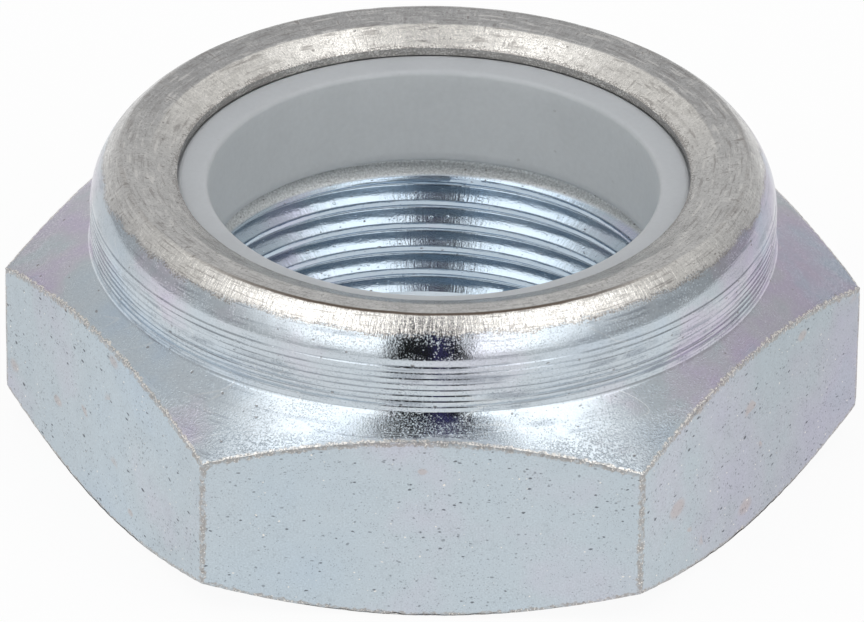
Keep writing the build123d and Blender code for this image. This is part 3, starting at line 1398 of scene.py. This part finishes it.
@dataclass(frozen=True)
class TurnedSteel(Finish):
    """Turned surfaces: zinc plating outside, and the rim's rolled top rubbed bare.

    The outer part of the upper bevel reflects as a flatter cone would, so its
    normal is turned by a slope that grows from one radius on.
    """

    rim: BareRim = BareRim()
    shade_and_mark_colour: Colour = (0.20, 0.23, 0.27, 1.0)
    edge_colour: Colour = (0.42, 0.38, 0.34, 1.0)
    fleck_colour: Colour = (0.90, 0.87, 0.82, 1.0)
    lowest_ring_height: float = LOWEST_RING_MM
    ring_pitch: float = RING_PITCH_MM
    ring_count: int = RING_COUNT
    ring_start: float = 0.45
    ring_shade: float = 0.52
    ring_line_limits: Limits = (0.20, 0.06)
    ring_mark_limits: Limits = (0.36, 0.62)
    ring_radius_limits: Limits = (18.0, 18.3)
    film_limits: Limits = (7.0, 17.0)
    film_strengths: Limits = (0.35, 0.9)
    sweep_limits: Limits = (0.52, 0.66)
    sweep_cloud_limits: Limits = (0.38, 0.60)
    sweep_strength: float = 0.5
    collar_limits: Limits = (19.15, 18.95)
    ahead_limits: Limits = (-0.72, -0.92)
    ahead_strength: float = 0.8
    side_limits: Limits = (13.0, 17.5)
    side_height_limits: Limits = (14.1, 15.0)
    side_strength: float = 0.30
    outer_limits: Limits = (20.3, 22.3)
    outer_strength: float = 0.10
    border_limits: Limits = (0.40, 0.60)
    border_strength: float = 2.4
    pit_strength: float = 0.6
    edge_strength: float = 0.5
    fleck_limits: Limits = (0.46, 0.54)
    flatter_radius: float = 20.05
    flatter_slope: float = 0.07
    flatter_ease: float = 0.8
    roughness: float = 0.10
    roughness_spread: float = 0.03
    worn_roughness: float = 0.18
    bare_roughness: float = 0.11
    grit_limits: Limits = (0.57, 0.66)
    grit_cloud_limits: Limits = (0.40, 0.62)
    beaten_limits: Limits = (0.50, 0.66)

    def rings(self, graph: Graph, place: Any, marks: Socket) -> Socket:
        """How much painted shade darkens the bottoms of the collar's turned rings.

        Args:
            graph: The material's tree.
            place: The outputs of the place group.
            marks: Turning marks that make the lines uneven.

        Returns:
            The mask of the dark lines.
        """
        start = graph.minus(place["Height"], self.lowest_ring_height + self.ring_start * self.ring_pitch)
        turn = graph.math("DIVIDE", start, self.ring_pitch)
        middle = graph.away(graph.math("FRACT", graph.plus(turn, 0.5)), 0.5)
        line = graph.step(middle, *self.ring_line_limits)
        above = graph.step(turn, -0.5, -0.4)
        below = graph.step(turn, self.ring_count, self.ring_count - 0.5)
        outside = graph.step(place["Radius"], *self.ring_radius_limits)
        shade = graph.stretch(graph.step(marks, *self.ring_mark_limits), 0.0, self.ring_shade)
        return graph.times(line, graph.times(above, below), outside, shade)

    def shaded(self, graph: Graph, place: Any, cloud: Socket, across: Socket, colour: Socket) -> Socket:
        """The plating's colour with the cutter's sweeps, and painted shade on the sides and outer bevel.

        Args:
            graph: The material's tree.
            place: The outputs of the place group.
            cloud: Slow noise.
            across: Distance from the middle, to the left or the right.
            colour: The plating's colour.

        Returns:
            The colour.
        """
        sweep = TurningMarks().mask(graph, Marks_per_mm=2.8, Breaks=3.5)
        clouded = graph.step(cloud, *self.sweep_cloud_limits)
        swept = graph.times(graph.step(sweep, *self.sweep_limits), clouded)
        collar = graph.step(place["Radius"], *self.collar_limits)
        ahead = graph.step(graph.parts(place["Around"])[1], *self.ahead_limits)
        swept = graph.times(swept, graph.most(collar, graph.times(ahead, self.ahead_strength)))
        # Painted shade: the collar's left and right sides are darkened.
        sides = graph.times(
            graph.step(across, *self.side_limits), graph.step(place["Height"], *self.side_height_limits)
        )
        # Painted shade: the bevel's outer band is darkened all round.
        outer = graph.step(place["Radius"], *self.outer_limits)
        shades = ((swept, self.sweep_strength), (sides, self.side_strength), (outer, self.outer_strength))
        for mask, strength in shades:
            colour = graph.coated(colour, mask, strength, self.shade_and_mark_colour)
        return colour

    def look(self, graph: Graph) -> dict[str, Any]:
        """Build the nodes: tinted and marked plating, the bare rim, and edges rubbed bright."""
        place = NutPlace().place(graph)
        across = graph.math("ABSOLUTE", graph.parts(place["Position"])[0])
        marks = TurningMarks().mask(graph, Marks_per_mm=7.0, Breaks=7.0)
        sparks = Spots().mask(graph, Spacing=0.15, Size=0.36, Amount=0.8, Seed=5.0)
        pits = Spots().mask(graph, Spacing=0.6, Size=0.24, Amount=0.22, Flatness=1.6, Seed=9.0)
        scuffs = Scuffs().mask(graph, Spacing=2.6, Width=0.006, Amount=0.15, Seed=6.0)
        grain = FineGrain().mask(graph, Grain_size=0.11, Seed=3.0)
        cloud = FineGrain().mask(graph, Grain_size=1.9, Seed=5.0)
        edge = EdgeWear().mask(graph, Reach=0.50, Raggedness=1.1)
        flecks = graph.times(edge, graph.step(grain, *self.fleck_limits))
        bare, rim_colour, rim_height = self.rim.look(graph, place, cloud)
        film = graph.stretch(graph.step(across, *self.film_limits), *self.film_strengths)
        colour = PlatingTint().tint(
            graph, self.colour, Patch_size=5.0, Strength=film, Seed=1.0, Side_bias=0.2
        )
        colour = graph.varied(colour, grain, 0.85, 1.15)
        colour = self.shaded(graph, place, cloud, across, colour)
        # Painted shade in the bottoms of the turned rings.
        colour = graph.blend(self.rings(graph, place, marks), colour, self.shade_and_mark_colour)
        colour = graph.blend(bare, colour, rim_colour)
        half_bare = graph.times(bare, graph.rest(bare))
        ragged = graph.times(graph.step(grain, *self.border_limits), self.border_strength)
        colour = graph.blend(graph.times(half_bare, ragged), colour, self.rim.rust_and_shade_colour)
        colour = graph.coated(colour, pits, self.pit_strength, self.rim.scrape_and_shade_colour)
        colour = graph.coated(colour, edge, self.edge_strength, self.edge_colour)
        return {
            "Base Color": graph.blend(graph.most(flecks, scuffs), colour, self.fleck_colour),
            "Metallic": 1.0,
            "Roughness": self.dullness(graph, cloud, bare),
            "Normal": graph.bumps(
                (self.flatter(graph, place), 1.0),
                (marks, 0.004),
                (grain, 0.004),
                (rim_height, 0.010),
                (graph.rest(graph.most(pits, scuffs, sparks)), 0.010),
                (self.grit(graph, cloud), 0.009),
                (self.beaten(graph, place), 0.016),
            ),
        }

    def dullness(self, graph: Graph, cloud: Socket, bare: Socket) -> Socket:
        """The roughness, which is higher at worn edges and on bare metal.

        Args:
            graph: The material's tree.
            cloud: Slow noise.
            bare: The mask of the bare part.

        Returns:
            The roughness.
        """
        worn = graph.node("Attribute", attribute_name="wear").outputs["Fac"]
        low, high = self.roughness - self.roughness_spread, self.roughness + self.roughness_spread
        rubbed = graph.step(graph.sloped(graph.minus(cloud, 0.5), 2.0, worn), 0.0, 0.5)
        rubbed = graph.times(rubbed, graph.step(worn, 0.0, 0.1))
        rough = graph.sloped(rubbed, self.worn_roughness, graph.stretch(cloud, low, high))
        return graph.sloped(bare, self.bare_roughness, rough)

    def flatter(self, graph: Graph, place: Any) -> Socket:
        """The height that turns the outer bevel's normal as if its cone were flatter there."""
        past = graph.minus(place["Radius"], self.flatter_radius)
        return graph.times(graph.math("SMOOTH_MAX", past, 0.0, self.flatter_ease), self.flatter_slope)

    def grit(self, graph: Graph, cloud: Socket) -> Socket:
        """Fine grit that stands in patches."""
        grit = FineGrain().mask(graph, Grain_size=0.085, Seed=21.0)
        return graph.times(graph.step(grit, *self.grit_limits), graph.step(cloud, *self.grit_cloud_limits))

    def beaten(self, graph: Graph, place: Any) -> Socket:
        """Small dents towards the bevel's outer edge."""
        beaten = graph.step(FineGrain().mask(graph, Grain_size=0.12, Seed=37.0), *self.beaten_limits)
        return graph.times(beaten, graph.step(place["Radius"], *self.outer_limits))


@dataclass(frozen=True)
class CutThread(Finish):
    """The thread's smooth flanks with marks along the cut, and its rough countersink."""

    pit_colour: Colour = (0.14, 0.12, 0.11, 1.0)
    countersink_colour: Colour = (0.74, 0.76, 0.76, 1.0)
    countersink_height: float = 8.62
    countersink_roughness: float = 0.35
    pit_strength: float = 0.7
    roughness: float = 0.17

    def look(self, graph: Graph) -> dict[str, Any]:
        """Build the nodes: tinted flanks, a grainy countersink, and pits in both."""
        place = NutPlace().place(graph)
        marks = TurningMarks().mask(graph, Marks_per_mm=8.0, Breaks=9.0)
        chatter = ChatterStreaks().mask(graph, Streaks=70.0, Length=1.2)
        pits = Spots().mask(graph, Spacing=0.4, Size=0.26, Amount=0.25, Flatness=2.5, Seed=2.0)
        sparks = Spots().mask(graph, Spacing=0.3, Size=0.32, Amount=0.30, Seed=4.0)
        cloud = FineGrain().mask(graph, Grain_size=1.1, Seed=9.0)
        grain = FineGrain().mask(graph, Grain_size=0.12, Seed=6.0)
        sunk = graph.step(place["Height"], self.countersink_height - 0.1, self.countersink_height + 0.05)
        colour = PlatingTint().tint(
            graph, self.colour, Patch_size=5.0, Strength=0.6, Seed=6.0, Side_bias=0.0, Dulling=0.0
        )
        colour = graph.blend(sunk, colour, graph.varied(self.countersink_colour, grain, 0.4, 1.5))
        rough = graph.stretch(cloud, self.roughness - 0.06, self.roughness + 0.1)
        return {
            "Base Color": graph.coated(colour, pits, self.pit_strength, self.pit_colour),
            "Metallic": 1.0,
            "Roughness": graph.sloped(sunk, self.countersink_roughness, rough),
            "Normal": graph.bumps(
                (marks, 0.018),
                (chatter, 0.010),
                (grain, 0.008),
                (graph.times(grain, sunk), 0.03),
                (graph.rest(graph.most(pits, sparks)), 0.012),
            ),
        }


@dataclass(frozen=True)
class MouldedNylon(Finish):
    """Natural nylon: cloudy and pale; its bore wall is painted paler, as painted light."""

    lit_wall_colour: Colour = (0.585, 0.61, 0.62, 1.0)
    dirt_colour: Colour = (0.30, 0.30, 0.29, 1.0)
    dirt_strength: float = 0.35
    wall_height: float = 15.5
    wall_border: float = 0.35
    roughness: float = 0.42
    scatter_weight: float = 0.25
    scatter_reach: float = 0.6
    refraction: float = 1.53

    def look(self, graph: Graph) -> dict[str, Any]:
        """Build the nodes: cloudy nylon with specks of dirt, which light goes into."""
        place = NutPlace().place(graph)
        marks = TurningMarks().mask(graph, Marks_per_mm=3.0, Breaks=2.0)
        cloud = FineGrain().mask(graph, Grain_size=2.6, Seed=2.0)
        grain = FineGrain().mask(graph, Grain_size=0.3, Seed=1.0)
        specks = Spots().mask(graph, Spacing=1.1, Size=0.14, Amount=0.16, Seed=1.0)
        # Painted light: the bore wall is painted paler than the top.
        wall = graph.step(place["Height"], self.wall_height, self.wall_height - self.wall_border)
        colour = graph.blend(wall, self.colour, self.lit_wall_colour)
        colour = graph.varied(colour, cloud, 0.94, 1.06)
        colour = graph.varied(colour, grain, 0.94, 1.06)
        return {
            "Base Color": graph.coated(colour, specks, self.dirt_strength, self.dirt_colour),
            "Roughness": graph.stretch(cloud, self.roughness - 0.06, self.roughness + 0.08),
            "Subsurface Weight": self.scatter_weight,
            "Subsurface Radius": (1.0, 1.0, 1.0),
            "Subsurface Scale": self.scatter_reach * MM,
            "IOR": self.refraction,
            "Normal": graph.bumps((marks, 0.006), (grain, 0.004)),
        }


# Studio


@dataclass(frozen=True)
class Studio:
    """The pale floor, the soft light and the camera.

    The light is a white tent with two lit panels overhead. A narrow dark slit that
    the camera looks through runs between them, with a faint glint in it, and from
    overhead to the back a wider gap at the tent's own level parts them. Places and
    widths are parts of 1 across the sky: X to the right, Y to the back, Z up.
    """

    floor_half: float = 1.5
    floor_colour: Colour = (0.88, 0.88, 0.88, 1.0)
    floor_glow: float = 0.92
    tent_level: float = 0.66
    tent_slant: float = 0.03
    tent_fall: float = 0.13
    tent_edge: Limits = (0.6, 0.95)
    panel_level: float = 1.8
    panel_inner: float = 0.48
    panel_outer: float = 0.92
    panel_turn: float = -0.05
    panel_taper: float = 3.5
    panel_back: float = 0.41
    panel_softness: float = 0.1
    panel_low: float = 0.02
    panel_high: float = 0.38
    gap_half: float = 0.20
    gap_clear: float = 0.6
    gap_start: Limits = (-0.05, 0.1)
    slit_level: float = 0.015
    slit_half: float = 0.115
    slit_spread: float = 0.12
    slit_back: float = 0.13
    slit_overhead: float = 0.012
    overhead_limits: Limits = (-0.12, 0.0)
    glint_side: float = 0.28
    glint_half: float = 0.022
    glint_level: float = 0.22
    glint_colour: Colour = (0.30, 0.26, 1.0, 1.0)
    softness: float = 0.03
    lens: float = 408.9
    nearest_seen: float = 0.01
    distance: float = 0.5433
    target_height: float = 7.159 * MM
    elevation: float = math.radians(30.26)
    azimuth: float = math.radians(1.1)
    roll: float = math.radians(0.78)

    def floor_finish(self) -> bpy.types.Material:
        """Make the floor's material, which shows as white to the camera but keeps a soft shadow."""
        graph, material = empty_material("studio_floor")
        matt = graph.node("BsdfDiffuse", {"Color": self.floor_colour}).outputs[0]
        glow = graph.node("Emission", {"Color": WHITE, "Strength": 1.0}).outputs[0]
        path = graph.node("LightPath").outputs
        seen = graph.most(path["Is Camera Ray"], path["Is Transmission Ray"], path["Is Glossy Ray"])
        share = graph.times(seen, self.floor_glow)
        mixed = graph.node("MixShader", {0: share, 1: matt, 2: glow}).outputs[0]
        graph.node("OutputMaterial", {"Surface": mixed})
        return material

    def floor(self) -> None:
        """Lay the floor."""
        half = self.floor_half
        mesh = bpy.data.meshes.new("studio_floor")
        corners = [(-half, -half, 0.0), (half, -half, 0.0), (half, half, 0.0), (-half, half, 0.0)]
        mesh.from_pydata(corners, [], [(0, 1, 2, 3)])
        mesh.materials.append(self.floor_finish())
        laid = bpy.data.objects.new("studio_floor", mesh)
        bpy.context.scene.collection.objects.link(laid)

    def lit(self, graph: Graph, way: tuple[Socket, ...], across: Socket) -> Socket:
        """How bright the tent and its panels are.

        Args:
            graph: The world's node tree.
            way: The three parts of the direction.
            across: How far the direction is from the middle, to the left or the right.

        Returns:
            The strength of the light.
        """
        right, back, up = way
        behind = graph.most(graph.minus(back, self.panel_turn), 0.0)
        outward = graph.times(across, graph.sloped(behind, self.panel_taper, 1.0))
        panel = graph.times(
            graph.step(outward, self.panel_outer, self.panel_inner),
            graph.step(up, self.panel_low, self.panel_high),
            graph.step(back, self.panel_back + self.panel_softness, self.panel_back - self.panel_softness),
        )
        parted = graph.step(across, self.gap_half, self.gap_clear * self.gap_half)
        panel = graph.times(panel, graph.rest(graph.times(parted, graph.step(back, *self.gap_start))))
        tent = graph.sloped(right, -self.tent_slant, self.tent_level)
        tent = graph.sloped(graph.step(across, *self.tent_edge), -self.tent_fall, tent)
        return graph.sloped(panel, graph.minus(self.panel_level, tent), tent)

    def sky(self, graph: Graph) -> tuple[Socket, Socket]:
        """How bright the light is in each direction, with the slit and the glint.

        Args:
            graph: The world's node tree.

        Returns:
            The strength and the colour of the light.
        """
        way = graph.parts(graph.node("TexCoord").outputs["Generated"])
        right, back, _ = way
        across, soft = graph.math("ABSOLUTE", right), self.softness
        lit = self.lit(graph, way, across)
        half = graph.sloped(back, -self.slit_spread, self.slit_half)
        half = graph.sloped(graph.step(back, *self.overhead_limits), self.slit_overhead, half)
        narrow = graph.step(graph.minus(across, half), 0.5 * soft, -0.5 * soft)
        slit = graph.times(narrow, graph.step(back, self.slit_back + soft, self.slit_back - soft))
        aside = graph.math("ABSOLUTE", graph.sloped(half, -self.glint_side, right))
        glint = graph.times(graph.step(aside, self.glint_half, 0.5 * self.glint_half), slit)
        dim = graph.sloped(glint, self.glint_level, self.slit_level)
        strength = graph.sloped(slit, graph.minus(dim, lit), lit)
        return strength, graph.blend(glint, WHITE, self.glint_colour)

    def light(self) -> None:
        """Put up the tent with its two lit panels."""
        world = bpy.data.worlds.new("studio_tent")
        world.use_nodes = True
        world.node_tree.nodes.clear()
        graph = Graph(world.node_tree)
        strength, colour = self.sky(graph)
        tent = graph.node("Background", {"Strength": strength, "Color": colour}).outputs[0]
        graph.node("OutputWorld", {"Surface": tent})
        bpy.context.scene.world = world

    def camera(self) -> None:
        """Stand the camera in front of the nut."""
        level, rise = math.cos(self.elevation), math.sin(self.elevation)
        away = Vector((math.sin(self.azimuth) * level, -math.cos(self.azimuth) * level, rise))
        target = Vector((0.0, 0.0, self.target_height))
        lens = bpy.data.cameras.new("studio_camera")
        lens.lens = self.lens
        lens.clip_start = self.nearest_seen
        stand = bpy.data.objects.new("studio_camera", lens)
        facing = (-away).to_track_quat("-Z", "Y").to_matrix().to_4x4()
        rolled = Matrix.Rotation(self.roll, 4, "Z")
        stand.matrix_world = Matrix.Translation(target + away * self.distance) @ facing @ rolled
        bpy.context.scene.collection.objects.link(stand)
        bpy.context.scene.camera = stand

    def build(self) -> None:
        """Set up the whole studio."""
        self.floor()
        self.light()
        self.camera()
        bpy.context.scene.view_settings.view_transform = "Standard"


def put(piece: bpy.types.Object, node: str, finishes: Sequence[bpy.types.Material]) -> None:
    """Dress a piece and put it in its node's place.

    Args:
        piece: The new object.
        node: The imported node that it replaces.
        finishes: Its materials, in the order of the mesh's zones.
    """
    for finish in finishes:
        piece.data.materials.append(finish)
    bpy.context.scene.collection.objects.link(piece)
    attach(piece, "root")
    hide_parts(node)
    log.info("%s replaces %s with %d faces", piece.name, node, len(piece.data.polygons))


def main() -> None:
    """Build the nut and its studio."""
    logging.basicConfig(level=logging.INFO, format="%(name)s: %(message)s")
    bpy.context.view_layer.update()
    sizes = NutSizes.from_frame(frame["record"])
    plated = (
        PlatedFlats("plated_flats", (0.56, 0.63, 0.68, 1.0)),
        TurnedSteel("turned_steel", (0.57, 0.625, 0.67, 1.0)),
        CutThread("cut_thread", (0.505, 0.59, 0.67, 1.0)),
    )
    put(NutBody(sizes).build(), "nut_body", [finish.build() for finish in plated])
    nylon = MouldedNylon("moulded_nylon", (0.44, 0.46, 0.48, 1.0))
    put(NylonRing(sizes).build(), "nylon_ring", [nylon.build()])
    Studio().build()


if __name__ == "__main__":
    main()
